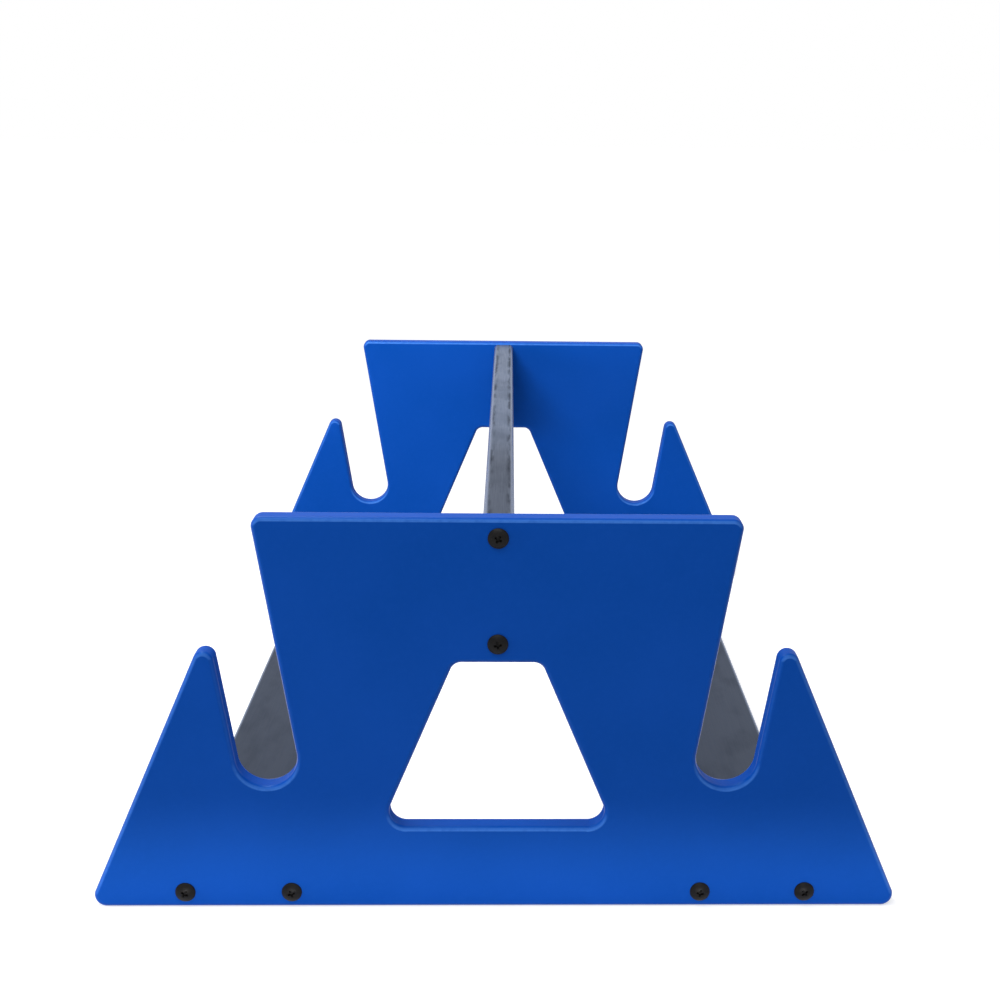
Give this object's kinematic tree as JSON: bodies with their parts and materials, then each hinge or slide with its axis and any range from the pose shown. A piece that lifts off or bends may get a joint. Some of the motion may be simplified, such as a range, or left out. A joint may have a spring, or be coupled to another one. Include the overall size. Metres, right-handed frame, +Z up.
{
  "type": "ski rack stand",
  "caption": "Low floor stand that holds skis on edge along it: two end panels with a slanted slot at each side, joined by three rectangular rails.",
  "frame": {"origin": "on the floor, at the centre of the stand's footprint", "axes": "+Z up, +Y from the front panel to the back panel along the rails, +X to the right when the front panel is looked at"},
  "size_m": [0.6752, 0.9608, 0.3408],
  "materials": {
    "panel": "blue polyethylene sheet, satin, edges routed round",
    "rail": "blue-grey mill skin, satin, with oily smears",
    "block": "plain polyethylene, hidden in the rail",
    "screw": "black, satin"
  },
  "bodies": {
    "root": {"front_panel": "panel", "back_panel": "panel", "top_rail": "rail", "left_base_rail": "rail", "right_base_rail": "rail", "top_front_block": "block", "top_back_block": "block", "left_front_block": "block", "left_back_block": "block", "right_front_block": "block", "right_back_block": "block", "top_front_screws": "screw", "top_back_screws": "screw", "left_front_screws": "screw", "left_back_screws": "screw", "right_front_screws": "screw", "right_back_screws": "screw"}
  },
  "joints": []
}
